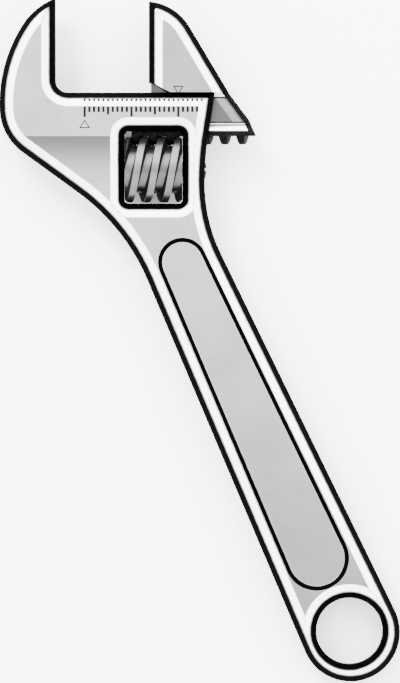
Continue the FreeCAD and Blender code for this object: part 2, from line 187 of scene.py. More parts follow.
def area_of(loop):
    after = np.roll(loop, -1, axis=0)
    return (loop[:, 0] * after[:, 1] - loop[:, 1] * after[:, 0]).sum() / 2


def anticlockwise(loop):
    return loop if area_of(loop) > 0 else loop[::-1]


def holds(loop, x, y):
    low, high = loop.min(axis=0), loop.max(axis=0)
    return low[0] < x < high[0] and low[1] < y < high[1]


def spaced(points, closed=True):
    """The same chain with its long edges divided."""
    ends = np.roll(points, -1, axis=0) if closed else points[1:]
    made = []
    for a, b in zip(points, ends):
        count = max(1, int(math.ceil(np.linalg.norm(b - a) / POINT_SPACING)))
        made += [a + (b - a) * step / count for step in range(count)]
    if not closed:
        made.append(points[-1])
    return np.array(made)


def segments_of(points, closed=True):
    if closed:
        return points, np.roll(points, -1, axis=0)
    return points[:-1], points[1:]


def distance_to(points, chains):
    """Distance from each point to the nearest of the chains, each (points, closed)."""
    starts = np.vstack([segments_of(*chain)[0] for chain in chains])
    ends = np.vstack([segments_of(*chain)[1] for chain in chains])
    along = ends - starts
    length = (along ** 2).sum(axis=1)
    nearest = np.full(len(points), 1e9)
    for start, step, size in zip(starts, along, length):
        share = np.clip(((points - start) @ step) / size, 0, 1)
        gap = points - start - share[:, None] * step
        nearest = np.minimum(nearest, (gap ** 2).sum(axis=1))
    return np.sqrt(nearest)


def inside(points, loops):
    """True where a point is inside an odd number of the loops."""
    odd = np.zeros(len(points), bool)
    for loop in loops:
        starts, ends = segments_of(loop)
        for (ax, ay), (bx, by) in zip(starts, ends):
            if ay == by:
                continue
            spans = (ay > points[:, 1]) != (by > points[:, 1])
            cross = ax + (points[:, 1] - ay) * (bx - ax) / (by - ay)
            odd ^= spans & (points[:, 0] < cross)
    return odd


def left_normals(points, closed=True):
    """A unit step to the left at each point, lengthened at corners so that offsets stay parallel."""
    starts, ends = segments_of(points, closed)
    along = ends - starts
    along /= np.linalg.norm(along, axis=1)[:, None]
    left = np.stack([-along[:, 1], along[:, 0]], axis=1)
    if closed:
        before, after = np.roll(left, 1, axis=0), left
    else:
        before, after = np.vstack([left[:1], left]), np.vstack([left, left[-1:]])
    middle = before + after
    return 2 * middle / (middle ** 2).sum(axis=1)[:, None]


class Plan:
    """Points and fixed edges in plan, to be triangulated."""

    def __init__(self):
        self.points = []
        self.edges = []

    def add_chain(self, points, closed, keep=None):
        """Edges along a chain; where keep is given, only between kept points that are near."""
        reach = math.inf if keep is None else LINK_REACH
        keep = np.ones(len(points), bool) if keep is None else keep
        numbers = {}
        for index, point in enumerate(points):
            if keep[index]:
                numbers[index] = len(self.points)
                self.points.append(Vector(point))
        kept = list(numbers)
        if closed:
            kept += kept[:1]
        for index, after in zip(kept, kept[1:]):
            if np.linalg.norm(points[after] - points[index]) < reach:
                self.edges.append((numbers[index], numbers[after]))
        return numbers

    def add_rings(self, chain, closed, offsets, guides):
        """Parallel copies of a chain to its left, without the stretches that come nearer to
        another guide, and spokes between them at the chain's corners."""
        normals = left_normals(chain, closed)
        sharp = np.flatnonzero(np.linalg.norm(normals, axis=1) > CORNER_STRETCH)
        inner = {}
        for offset in offsets:
            ring = chain + normals * offset
            far = distance_to(ring, guides) > abs(offset) - RING_TOLERANCE
            numbers = self.add_chain(ring, closed, far)
            for corner in sharp:
                if corner in inner and corner in numbers:
                    self.edges.append((inner[corner], numbers[corner]))
            inner = numbers

    def add_ridge(self, chain, closed, others, reach):
        """The line half way between a chain and the others, where they are nearer than reach."""
        normals = left_normals(chain, closed)
        near, far = np.zeros(len(chain)), np.full(len(chain), reach)
        meets = distance_to(chain + normals * reach, others) < reach
        for _ in range(RIDGE_HALVINGS):
            middle = (near + far) / 2
            beyond = distance_to(chain + normals * middle[:, None], others) < middle
            far = np.where(beyond, middle, far)
            near = np.where(beyond, near, middle)
        self.add_chain(chain + normals * far[:, None], closed, meets)

    def triangulate(self, loops):
        """Vertices and triangles inside the loops."""
        made = delaunay_2d_cdt(self.points, self.edges, [], 0, SAME_POINT, False)
        points, faces = made[0], made[2]
        points = np.array([tuple(point) for point in points])
        faces = np.array([tuple(face) for face in faces if len(face) == 3])
        middles = points[faces].mean(axis=1)
        faces = faces[inside(middles, loops)]
        used, faces = np.unique(faces, return_inverse=True)
        faces = faces.reshape(-1, 3)
        points = points[used]
        a, b, c = points[faces[:, 0]], points[faces[:, 1]], points[faces[:, 2]]
        turn = (b[:, 0] - a[:, 0]) * (c[:, 1] - a[:, 1]) - (b[:, 1] - a[:, 1]) * (c[:, 0] - a[:, 0])
        faces[turn < 0] = faces[turn < 0][:, ::-1]
        return points, faces


# ---------------------------------------------------------------- meshes
def new_object(name, points, faces):
    """A mesh object from points in millimetres."""
    mesh = bpy.data.meshes.new(name)
    mesh.from_pydata([tuple(point) for point in np.asarray(points) * MM], [],
                     [tuple(int(i) for i in face) for face in faces])
    mesh.update()
    made = bpy.data.objects.new(name, mesh)
    bpy.context.scene.collection.objects.link(made)
    return made


def plate(name, plan, relief):
    """A solid with the same relief on both faces and upright walls round its outlines."""
    flat, faces = plan.triangulate(relief.loops)
    top = relief.height(flat)
    count = len(flat)
    points = np.vstack([np.column_stack([flat, top]), np.column_stack([flat, -top])])
    edges = set()
    for a, b, c in faces:
        edges.update([(a, b), (b, c), (c, a)])
    walls = [(a, a + count, b + count, b) for a, b in edges if (b, a) not in edges]
    return new_object(name, points, list(faces) + list(faces[:, ::-1] + count) + walls)


def volume_of(mesh):
    solid = bmesh.new()
    solid.from_mesh(mesh)
    volume = solid.calc_volume(signed=True)
    solid.free()
    return volume


def combine(target, tool, operation):
    """Change target by a boolean with tool, which is used up."""
    if volume_of(target.data) <= 0 or volume_of(tool.data) <= 0:
        raise RuntimeError(f"{target.name} or {tool.name} is inside out")
    modifier = target.modifiers.new("combine", "BOOLEAN")
    modifier.operation = operation
    modifier.solver = "MANIFOLD"
    modifier.object = tool
    graph = bpy.context.evaluated_depsgraph_get()
    mesh = bpy.data.meshes.new_from_object(target.evaluated_get(graph), depsgraph=graph)
    if not mesh.polygons:
        raise RuntimeError(f"{target.name} {operation} {tool.name} left nothing")
    target.modifiers.clear()
    target.data = mesh
    bpy.data.objects.remove(tool)


def lathe_along_x(name, profile, y):
    """A closed solid turned about the X axis at height y: profile is (x, radius) end to end."""
    points, faces = [], []
    for x, radius in profile:
        for step in range(ROUND_SIDES):
            angle = 2 * math.pi * step / ROUND_SIDES
            points.append((x, y + radius * math.cos(angle), radius * math.sin(angle)))
    for ring in range(len(profile) - 1):
        for step in range(ROUND_SIDES):
            after = (step + 1) % ROUND_SIDES
            a, b = ring * ROUND_SIDES + step, ring * ROUND_SIDES + after
            faces.append((a, b, b + ROUND_SIDES, a + ROUND_SIDES))
    faces.append(tuple(reversed(range(ROUND_SIDES))))
    last = (len(profile) - 1) * ROUND_SIDES
    faces.append(tuple(last + step for step in range(ROUND_SIDES)))
    return new_object(name, points, faces)


def prism(name, outline, low, high):
    """An upright solid over an outline that runs anticlockwise, from height low to high."""
    count = len(outline)
    points = [(x, y, z) for z in (low, high) for x, y in outline]
    faces = [tuple(reversed(range(count))), tuple(range(count, 2 * count))]
    for a in range(count):
        b = (a + 1) % count
        faces.append((a, b, b + count, a + count))
    return new_object(name, points, faces)


def block(name, low, high):
    outline = [(low[0], low[1]), (high[0], low[1]), (high[0], high[1]), (low[0], high[1])]
    return prism(name, outline, low[2], high[2])


# ---------------------------------------------------------------- reliefs
class Relief:
    """One face of a flat forging: its outlines, bevelled rims, thickness and sunk panel."""

    def __init__(self, loops, guides, face, panel=None, share=1.0):
        self.loops = loops
        self.guides = guides
        self.face = face
        self.panel = panel
        self.share = share      # of the full depth of the rim's bevels

    def rim(self, points):
        """Millimetres in from the nearest bevelled edge."""
        return distance_to(points, self.guides)

    def panel_side(self, points):
        """Millimetres outward from the sunk floor's edge, negative over the floor."""
        if self.panel is None:
            return np.full(len(points), 2 * WALL_WIDTH)
        distance = distance_to(points, [(self.panel, True)])
        return np.where(inside(points, [self.panel]), -distance, distance)

    def height(self, points):
        side = self.panel_side(points)
        slope = PANEL_DEPTH / WALL_WIDTH
        climb = slope * (ramp(side, WALL_SOFT) - ramp(side - WALL_WIDTH, WALL_SOFT))
        drop = edge_drop(self.rim(points)) * self.share + PANEL_DEPTH
        return self.face(points[:, 1]) - drop + climb


# ---------------------------------------------------------------- marks, cut into one face
MARK_DEPTH = 0.15
MARK_WIDTH = 0.54
HAIRLINE = 0.22
DECK_Y = -11.0            # the head's edge, which the jaw slides along
SCALE_ZERO_X = 6.33
SCALE_STEPS = 24
TICK_TOP = DECK_Y - BEVEL_END - 0.05
TEN_TICK, FIVE_TICK, SHORT_TICK = 2.32, 1.8, 1.25
DOT_DISTANCE = 1.67       # from the deck's edge
DOT_SIZE = 0.54
ZERO_BASE_Y, ZERO_APEX_Y, ZERO_HALF_WIDTH = -18.67, -16.8, 1.2
INDEX_BASE_Y, INDEX_APEX_Y, INDEX_HALF_WIDTH = -9.65, -11.6, 1.16


def join(pieces):
    """Several meshes in one object, each still its own shell."""
    whole = bmesh.new()
    for piece in pieces:
        whole.from_mesh(piece.data)
        bpy.data.objects.remove(piece)
    mesh = bpy.data.meshes.new("joined")
    whole.to_mesh(mesh)
    whole.free()
    made = bpy.data.objects.new("joined", mesh)
    bpy.context.scene.collection.objects.link(made)
    return made


def triangle_line(x, base_y, apex_y, half_width, low, high):
    """A hairline triangle as a closed band, from low to high."""
    outer = anticlockwise(np.array([(x - half_width, base_y), (x, apex_y), (x + half_width, base_y)]))
    flat = np.vstack([outer, outer + left_normals(outer) * HAIRLINE])
    points = [(px, py, z) for z in (low, high) for px, py in flat]
    faces = []
    for a, b in ((0, 1), (1, 2), (2, 0)):
        faces += [(a, a + 3, b + 3, b), (a + 6, b + 6, b + 9, a + 9),
                  (a, b, b + 6, a + 6), (a + 3, a + 9, b + 9, b + 3)]
    return new_object("triangle_line", points, faces)


def scale_marks():
    """A tick and a dot for every millimetre of opening, and the zero mark, as cutters."""
    floor, above = HEAD_FACE - MARK_DEPTH, HEAD_FACE + MARGIN
    dot_floor = floor - edge_drop(np.array([DOT_DISTANCE]))[0]
    dot_y, dot_half, half = DECK_Y - DOT_DISTANCE, DOT_SIZE / 2, MARK_WIDTH / 2
    cutters = [triangle_line(SCALE_ZERO_X, ZERO_BASE_Y, ZERO_APEX_Y, ZERO_HALF_WIDTH, floor, above)]
    for step in range(SCALE_STEPS + 2):      # one dot past the last tick
        x = SCALE_ZERO_X + step
        cutters.append(block("dot", (x - dot_half, dot_y - dot_half, dot_floor),
                             (x + dot_half, dot_y + dot_half, above)))
    for step in range(SCALE_STEPS + 1):
        x = SCALE_ZERO_X + step
        end = {0: TEN_TICK, 5: FIVE_TICK}.get(step % 10, SHORT_TICK)
        cutters.append(block("tick", (x - half, TICK_TOP - end, floor), (x + half, TICK_TOP, above)))
    return join(cutters)


# ---------------------------------------------------------------- what each face is
SKIN, MACHINED, INK = range(3)        # in the order of a piece's materials
WALL_REACH = 0.03         # a face this near an outline is part of its upright wall
LEAST_CUT = 0.04          # a face this far under the relief has been cut
DEEP_CUT = 2.5            # bores and slots lie deeper under the relief than this
MARKS_Y, MARKS_HALF = -14.3, 4.9      # every mark lies within this of this height


def keep_zones(piece, relief, painted):
    """Say of every face whether it is skin, a machined cut or the floor of a mark, and store the
    distances that the finishes follow: from the painted edges and from the sunk panel."""
    mesh = piece.data
    flat = np.empty(len(mesh.vertices) * 3, np.float32)
    mesh.vertices.foreach_get("co", flat)
    points = flat.reshape(-1, 3).astype(float)[:, :2] / MM
    for name, values in (("rim", distance_to(points, painted)), ("panel", relief.panel_side(points))):
        attribute = mesh.attributes.new(name, "FLOAT", "POINT")
        attribute.data.foreach_set("value", values.astype(np.float32))
    middles = np.array([polygon.center[:] for polygon in mesh.polygons]) / MM
    below = relief.height(middles[:, :2]) - np.abs(middles[:, 2])
    on_wall = distance_to(middles[:, :2], [(loop, True) for loop in relief.loops]) < WALL_REACH
    marked = (below > LEAST_CUT) & (middles[:, 2] > 0) & (np.abs(middles[:, 1] - MARKS_Y) < MARKS_HALF)
    cut = (below > 2 * MARK_DEPTH) & (relief.rim(middles[:, :2]) > FLANK_WIDTH)
    zones = np.where(cut | (below > DEEP_CUT), MACHINED, np.where(marked, INK, SKIN))
    zones[on_wall] = SKIN
    mesh.materials.clear()
    mesh.polygons.foreach_set("material_index", zones.astype(np.int32))
    mesh.update()
    return piece


# ---------------------------------------------------------------- the frame
JAW_POINTS = vertices_of("movable_jaw")
WEB_CUT_Y = -15.0         # across the web, between the jaw's sole and the rod
ROD_RADIUS = JAW_POINTS[JAW_POINTS[:, 1] < WEB_CUT_Y, 2].max()
ROD_Y = JAW_LOW.y + ROD_RADIUS
# The cuts follow part.py's, whose measures the frame doesn't carry.
ROD_CLEARANCE = 0.1
ROD_BORE_LEFT = -4.0
SLOT_LEFT = 0.1
SLOT_HALF = 1.4
SLOT_TOP_Y = DECK_Y + 8.0     # clear of the head's edge
PIN_HOLE_RADIUS = 1.64
SEAT_CLEARANCE = 0.041        # round the pin's head
SEAT_LEFT = 29.4


def frame_relief():
    outline, window = section_loops("wrench_frame", SECTION_Z)[:2]
    panel = min((loop for loop in section_loops("wrench_frame", PANEL_SECTION_Z)
                 if loop[:, 1].max() < SLOPE_END_Y and not holds(loop, *HOLE_CENTRE)), key=len)
    turns = np.linspace(0, -2 * math.pi, ROUND_SIDES, endpoint=False)
    hole = np.array(HOLE_CENTRE) + HOLE_RADIUS * np.stack([np.cos(turns), np.sin(turns)], axis=1)
    loops = [spaced(anticlockwise(outline)), spaced(anticlockwise(window)[::-1]), hole]
    panel = spaced(anticlockwise(panel)[::-1])
    return Relief(loops, [(loop, True) for loop in loops], face_height, panel)


def build_frame():
    relief = frame_relief()
    plan = Plan()
    for number, loop in enumerate(relief.loops):
        plan.add_chain(loop, True)
        plan.add_rings(loop, True, EDGE_RINGS, relief.guides)
        others = relief.guides[:number] + relief.guides[number + 1:]
        plan.add_ridge(loop, True, others, BEVEL_END + BEVEL_SOFT)
    plan.add_rings(relief.panel, True, WALL_RINGS, [(relief.panel, True)])
    rows = np.linspace(CREASE_Y - 0.5, SLOPE_END_Y, SLOPE_ROWS)
    for y in (CREASE_Y + CREASE_SOFT, CREASE_Y, CREASE_Y - CREASE_SOFT * 4, *rows):
        plan.add_chain(np.array([(FRAME_LOW.x - MARGIN, y), (FRAME_HIGH.x + MARGIN, y)]), False)
    forging = plate("frame_forging", plan, relief)

    beyond = FRAME_HIGH.x
    seat_radius = (PIN_HIGH.y - PIN_LOW.y) / 2 + SEAT_CLEARANCE
    slot = block("slot", (SLOT_LEFT, ROD_Y, -SLOT_HALF), (beyond, SLOT_TOP_Y, SLOT_HALF))
    combine(forging, slot, "DIFFERENCE")
    for y, radius, left in ((ROD_Y, ROD_RADIUS + ROD_CLEARANCE, ROD_BORE_LEFT),
                            (WORM_Y, PIN_HOLE_RADIUS, PIN_LOW.x), (WORM_Y, seat_radius, SEAT_LEFT)):
        combine(forging, lathe_along_x("bore", [(left, radius), (beyond, radius)], y), "DIFFERENCE")
    combine(forging, scale_marks(), "DIFFERENCE")
    return keep_zones(forging, relief, relief.guides)


# ---------------------------------------------------------------- the sliding jaw
WEB_HALF = 1.3
WEB_TOP_Y = -8.95         # the web is seen as far up as this, in the jaw's relief
MIDDLE_Z = 0.01           # just over the middle plane
OPENING = mount("movable_jaw_face")["pos_m"][0] / MM
HIDDEN = 0.002            # keeps joined solids from sharing a plane
WEB_BEVEL_SHARE = 0.35    # of the full depth of the face's bevel
GUIDE_START = 0.3         # the bevel's guide starts this share of an edge before its first point
GUIDE_RUN = 3.0           # and runs on this far below its last
ON_FACE = 0.01            # points this near the furthest one are on the gripping face
SHADE_LINE_Y = -12.0       # a painted shade line runs here, and the web carries a painted highlight strip above it
FACET_DEPTH = 0.8         # of a step along the relief at the foot of the gripping face
FACET_START, FACET_END = (0.0, -8.3), (4.4, -11.0)     # from the gripping face's foot


def clipped(loop, low, high):
    """The part of a loop between two heights."""
    for sign, limit in ((1, low), (-1, high)):
        kept = []
        for a, b in zip(loop, np.roll(loop, -1, axis=0)):
            over_a, over_b = sign * (a[1] - limit) >= 0, sign * (b[1] - limit) >= 0
            if over_a:
                kept.append(a)
            if over_a != over_b:
                kept.append(a + (b - a) * (limit - a[1]) / (b[1] - a[1]))
        loop = np.array(kept)
    return loop


def jaw_relief():
    """Bevelled on the gripping face, the nose and the slanted back, and square underneath."""
    loop = anticlockwise(section_loops("movable_jaw", SECTION_Z)[0])
    loop = np.roll(loop, -loop[:, 0].argmax(), axis=0)
    left = np.flatnonzero(loop[:, 0] < loop[:, 0].min() + ON_FACE)
    bevelled = loop[:left.max() + 1]
    before = bevelled[0] + (bevelled[0] - bevelled[1]) * GUIDE_START
    after = bevelled[-1] - (0, GUIDE_RUN)
    guide = spaced(np.vstack([before, bevelled, after]), closed=False)
    return Relief([spaced(loop)], [(guide, False)], lambda y: np.full(len(y), JAW_FACE))


def middle_loop():
    """The sliding jaw's outline at mid-thickness, from the rod's end up its slanted back."""
    whole = anticlockwise(section_loops("movable_jaw", MIDDLE_Z)[0])
    return np.roll(whole, -whole[:, 0].argmax(), axis=0)


def web_relief():
    """The thin web under the jaw, bevelled along its slanted back."""
    web = clipped(middle_loop(), WEB_CUT_Y - 0.5, WEB_TOP_Y)
    web = web + left_normals(web) * HIDDEN
    guide = spaced(middle_loop()[:3], closed=False)
    return Relief([spaced(web)], [(guide, False)], lambda y: np.full(len(y), WEB_HALF - HIDDEN),
                  share=WEB_BEVEL_SHARE)


def rod_and_rack():
    """The CAD jaw's own rod and teeth, from below the cut through its web."""
    mesh = bmesh.new()
    mesh.from_mesh(frame["nodes"]["movable_jaw"].data)
    bmesh.ops.remove_doubles(mesh, verts=mesh.verts, dist=WELD)
    cut = bmesh.ops.bisect_plane(mesh, geom=mesh.verts[:] + mesh.edges[:] + mesh.faces[:],
                                 plane_co=(0, WEB_CUT_Y * MM, 0), plane_no=(0, 1, 0), clear_outer=True)
    rim = [item for item in cut["geom_cut"] if isinstance(item, bmesh.types.BMEdge)]
    bmesh.ops.triangulate(mesh, faces=bmesh.ops.contextual_create(mesh, geom=rim)["faces"])
    mesh.verts.index_update()
    points = [vertex.co / MM for vertex in mesh.verts]
    faces = [[vertex.index for vertex in face.verts] for face in mesh.faces]
    mesh.free()
    return new_object("rod_and_rack", points, faces)


def bevelled_plate(name, relief):
    plan = Plan()
    plan.add_chain(relief.loops[0], True)
    guide, closed = relief.guides[0]
    plan.add_rings(guide, closed, EDGE_RINGS, relief.guides)
    return plate(name, plan, relief)


def facet_outline():
    """What the facet's step cuts away, open past the gripping face and the sole."""
    (x0, y0), (x1, y1) = FACET_START, FACET_END
    left, right = OPENING + x0 - MARGIN, OPENING + x1
    return [(left, y1 - MARGIN), (right, y1 - MARGIN), (right, y1), (OPENING + x0, y0), (left, y0)]


def build_jaw():
    relief, web = jaw_relief(), web_relief()
    jaw = bevelled_plate("sliding_jaw", relief)
    combine(jaw, bevelled_plate("web", web), "UNION")
    combine(jaw, rod_and_rack(), "UNION")
    above = JAW_FACE + MARGIN
    index = triangle_line(SCALE_ZERO_X + OPENING, INDEX_BASE_Y, INDEX_APEX_Y, INDEX_HALF_WIDTH,
                          JAW_FACE - MARK_DEPTH, above)
    combine(jaw, index, "DIFFERENCE")
    facet = prism("facet", facet_outline(), JAW_FACE - FACET_DEPTH, above)
    combine(jaw, facet, "DIFFERENCE")
    return keep_zones(jaw, relief, relief.guides)


# ---------------------------------------------------------------- finishes
NOISE_ROUGHNESS = 0.55
EDGE_BLUR = 0.05          # half the width over which a painted edge fades
WEB_BLACK_WIDTH = 1.2     # the black edge, the bevel's painted highlight and the painted highlight strip, in from the slanted back
WEB_BEVEL_START = 1.55
STRIP_END = 6.0
LINE_HALF = 0.2           # half the width of a painted line
SECOND_LINE = 0.55        # the two lines at the rod's top are this far apart
UNDERSIDE_SHADE_HEIGHT = 0.5          # painted shade covers the rod and its teeth up to this far over its axis
SHARP_ANGLE = math.radians(30)


class Finish:
    """A material and its node tree, written from the surface back to its patterns."""

    def __init__(self, name, **constants):
        self.material = bpy.data.materials.new(name)
        self.material.use_nodes = True
        self.tree = self.material.node_tree
        self.surface = self.tree.nodes["Principled BSDF"]
        self.place = self.add("ShaderNodeTexCoord").outputs["Object"]
        for socket, value in constants.items():
            self.surface.inputs[socket.replace("_", " ")].default_value = value

    def add(self, kind, inputs=(), **settings):
        node = self.tree.nodes.new(kind)
        for setting, value in settings.items():
            setattr(node, setting, value)
        for socket, value in dict(inputs).items():
            self.feed(node.inputs[socket], value)
        return node

    def feed(self, socket, value):
        if isinstance(value, bpy.types.NodeSocket):
            self.tree.links.new(value, socket)
        else:
            socket.default_value = value

    def math(self, operation, *values):
        node = self.add("ShaderNodeMath", enumerate(values), operation=operation)
        return node.outputs[0]

    def step(self, value, low, high, start=0.0, end=1.0):
        """Rises smoothly from start to end as value goes from low to high."""
        node = self.add("ShaderNodeMapRange", {"Value": value, "From Min": low, "From Max": high,
                                               "To Min": start, "To Max": end},
                        interpolation_type="SMOOTHSTEP")
        return node.outputs["Result"]

    def blend(self, share, first, second):
        node = self.add("ShaderNodeMix", data_type="RGBA")
        for socket, value in ((node.inputs[0], share), (node.inputs[6], first), (node.inputs[7], second)):
            self.feed(socket, value)
        return node.outputs[2]

    def noise(self, size, stretch=(1, 1, 1), turn=0.0, detail=3.0):
        """Noise whose blobs are about this many millimetres, stretched along X, Y and Z."""
        scale = [1 / (size * MM * factor) for factor in stretch]
        turned = self.add("ShaderNodeMapping", {"Vector": self.place, "Rotation": (0, 0, turn)})
        place = self.add("ShaderNodeMapping", {"Vector": turned.outputs[0], "Scale": scale})
        node = self.add("ShaderNodeTexNoise", {"Vector": place.outputs[0], "Scale": 1.0,
                                               "Detail": detail, "Roughness": NOISE_ROUGHNESS})
        return node.outputs["Fac"]

    def attribute(self, name):
        return self.add("ShaderNodeAttribute", attribute_name=name).outputs["Fac"]

    def left_of_line(self, a, b):
        """Millimetres to the left of the line from a to b, seen from above."""
        normal = Vector((a[1] - b[1], b[0] - a[0], 0)).normalized()
        node = self.add("ShaderNodeVectorMath", {0: self.place, 1: normal}, operation="DOT_PRODUCT")
        reach = normal.x * a[0] + normal.y * a[1]
        return self.math("SUBTRACT", self.math("DIVIDE", node.outputs["Value"], MM), reach)

    def along_y(self, low, high, start=0.0, end=1.0):
        """From start to end between two heights in millimetres."""
        split = self.add("ShaderNodeSeparateXYZ", {"Vector": self.place})
        return self.step(split.outputs["Y"], low * MM, high * MM, start, end)

    def line_at_y(self, y, half_width):
        """1 on a thin line at this height and 0 away from it."""
        split = self.add("ShaderNodeSeparateXYZ", {"Vector": self.place})
        away = self.math("ABSOLUTE", self.math("SUBTRACT", split.outputs["Y"], y * MM))
        return self.step(away, half_width * 0.6 * MM, half_width * 1.2 * MM, 1, 0)

    def from_axis(self, y):
        """Millimetres from the axis that runs along X at height y."""
        split = self.add("ShaderNodeSeparateXYZ", {"Vector": self.place})
        across = self.math("SUBTRACT", split.outputs["Y"], y * MM)
        around = self.add("ShaderNodeCombineXYZ", {"X": across, "Y": split.outputs["Z"]})
        length = self.add("ShaderNodeVectorMath", {0: around.outputs[0]}, operation="LENGTH")
        return self.math("DIVIDE", length.outputs["Value"], MM)

    def relief(self, height, depth_mm):
        """Bumps this deep, by a pattern's height."""
        node = self.add("ShaderNodeBump", {"Height": height, "Distance": depth_mm * MM})
        self.feed(self.surface.inputs["Normal"], node.outputs[0])

    def look(self, **sockets):
        for socket, value in sockets.items():
            self.feed(self.surface.inputs[socket.replace("_", " ")], value)
        return self.material


def grey(level, warmth=0.0):
    return (level * (1 + warmth), level, level * (1 - warmth), 1)


def matt_oxide(finish, pits):
    """The colour of blackened steel, with the metal just showing through where it is rubbed."""
    return finish.blend(finish.step(pits, 0.64, 0.78, 0, 0.5), grey(0.0003), grey(0.006, 0.04))


def forged_steel(name, satin, grain_turn):
    """Black flanks and panel walls, polished bevels brightened as a painted highlight, and satin faces,
    by distance from the rim, with painted shade beside the flanks, in the hollow and towards the handle's
    end.
    """
    finish = Finish(name, Specular_IOR_Level=0.005)
    wander = finish.noise(1.2)
    rim = finish.math("ADD", finish.attribute("rim"), finish.step(wander, 0, 1, -0.06, 0.06))
    panel = finish.math("ADD", finish.attribute("panel"), finish.step(wander, 0, 1, -0.05, 0.05))
    flank = finish.step(rim, FLANK_WIDTH - 0.08, FLANK_WIDTH + 0.06, 1, 0)
    wall = finish.math("MULTIPLY", finish.step(panel, -0.12, 0.02), finish.step(panel, 0.86, 0.98, 1, 0))
    black = finish.math("MAXIMUM", flank, wall)
    polished = finish.step(rim, BEVEL_END - EDGE_BLUR, BEVEL_END + EDGE_BLUR, 1, 0)
    grain = finish.noise(0.12, (14, 1, 14), grain_turn, detail=5)
    smudge = finish.noise(9, detail=2)
    pits = finish.noise(0.35, detail=4)

    face = finish.blend(grain, grey(satin * 0.78), grey(satin * 1.2))
    face = finish.blend(finish.step(smudge, 0.35, 0.75, 0, 0.25), face, grey(satin * 0.85))
    # Painted shade in the hollow slope, darkest just under the crease and fading down the slope.
    hollow = finish.math("MULTIPLY", finish.along_y(SLOPE_END_Y + 2, CREASE_Y, 0, 0.93),
                         finish.along_y(CREASE_Y - EDGE_BLUR, CREASE_Y + EDGE_BLUR, 1, 0))
    face = finish.blend(hollow, face, grey(satin * 0.16))
    # Painted shade: the face darkens towards the handle's end.
    handle_end_shade = finish.along_y(FRAME_LOW.y, SLOPE_END_Y, 1, 0)
    face = finish.blend(handle_end_shade, face, grey(satin * 0.5))
    # The bevel is polished steel given a near-white colour, far brighter than the satin face: partly
    # polish, partly a painted highlight.
    bright = finish.blend(grain, grey(0.86), grey(0.94))
    # Painted shade: a darker grey band on the bevel just beside the black flank.
    flank_foot_shade = finish.step(rim, FLANK_WIDTH + 0.12, FLANK_WIDTH + 0.36, 1, 0)
    bright = finish.blend(flank_foot_shade, bright, grey(0.11))
    metal = finish.blend(polished, face, bright)
    rough = finish.step(smudge, 0.3, 0.7, 0.31, 0.37)
    rough = finish.math("ADD", rough, finish.math("MULTIPLY", polished, -0.12))
    rough = finish.math("ADD", rough, finish.math("MULTIPLY", black, 0.25))
    deep_pits = finish.math("MULTIPLY", finish.math("MULTIPLY", pits, black), 3.0)
    finish.relief(finish.math("ADD", grain, deep_pits), 0.009)
    return finish.look(Base_Color=finish.blend(black, metal, matt_oxide(finish, pits)),
                       Metallic=finish.math("SUBTRACT", 1.0, black), Roughness=rough)


def rod_and_web_steel(name):
    """Ground web with a black edge, darkened as painted shade, with a painted highlight on its bevel and
    a painted highlight strip; a polished rod; painted shade on the rod's underside, its teeth and along
    thin lines.
    """
    finish = Finish(name, Specular_IOR_Level=0.02)
    rod_end, knee, heel = middle_loop()[:3]
    rim = finish.math("MINIMUM", finish.left_of_line(rod_end, knee), finish.left_of_line(knee, heel))
    marks = finish.noise(0.14, (12, 1, 12), detail=4)
    pits = finish.noise(0.35, detail=4)
    # The web's ground steel is given a very dark colour: painted shade, for lying below the jaw's face.
    web = finish.blend(marks, grey(0.055), grey(0.08))
    # A painted highlight along the web's bevel.
    bevel = finish.math("MULTIPLY",
                        finish.step(rim, WEB_BEVEL_START - EDGE_BLUR, WEB_BEVEL_START + EDGE_BLUR),
                        finish.step(rim, BEVEL_END, BEVEL_END + 0.15, 1, 0))
    web = finish.blend(bevel, web, grey(0.17))
    # A painted highlight strip on the web, above the painted shade line under the jaw's sole.
    highlight_strip = finish.math("MULTIPLY", finish.step(rim, STRIP_END, STRIP_END + 0.5, 1, 0),
                        finish.along_y(SHADE_LINE_Y - EDGE_BLUR, SHADE_LINE_Y + EDGE_BLUR))
    web = finish.blend(highlight_strip, web, grey(0.8))
    rod_top = ROD_Y + ROD_RADIUS
    rod = finish.along_y(rod_top - 0.1, rod_top + 0.05, 1, 0)
    colour = finish.blend(rod, web, finish.blend(marks, grey(0.7), grey(0.85)))
    # Painted shade on the rod's underside and its teeth, and along thin lines at the rod's top, under the
    # jaw's sole and along the facet's step.
    painted_shade = finish.along_y(ROD_Y + UNDERSIDE_SHADE_HEIGHT, ROD_Y + UNDERSIDE_SHADE_HEIGHT + 0.15, 1, 0)
    for y in (rod_top, rod_top - SECOND_LINE, SHADE_LINE_Y):
        painted_shade = finish.math("MAXIMUM", painted_shade, finish.line_at_y(y, LINE_HALF))
    # A painted shade line along the facet's step.
    facet = [(OPENING + x, y) for x, y in (FACET_START, FACET_END)]
    from_facet = finish.math("ABSOLUTE", finish.left_of_line(*facet))
    facet_shade_line = finish.math("MULTIPLY", finish.step(from_facet, 0.15, 0.3, 1, 0),
                             finish.along_y(FACET_END[1], FACET_END[1] + 0.1))
    painted_shade = finish.math("MAXIMUM", painted_shade, facet_shade_line)
    edge = finish.step(rim, WEB_BLACK_WIDTH - EDGE_BLUR, WEB_BLACK_WIDTH + EDGE_BLUR, 1, 0)
    black = finish.math("MAXIMUM", edge, painted_shade)
    # The black of the web's edge and of the painted shade.
    edge_black_and_shade = finish.blend(finish.step(pits, 0.5, 0.8), grey(0.001), grey(0.012))
    finish.relief(marks, 0.008)
    rough = finish.step(marks, 0.2, 0.8, 0.38, 0.28)
    return finish.look(Base_Color=finish.blend(black, colour, edge_black_and_shade),
                       Metallic=finish.math("SUBTRACT", 1.0, black),
                       Roughness=finish.math("ADD", rough, finish.math("MULTIPLY", black, 0.3)))


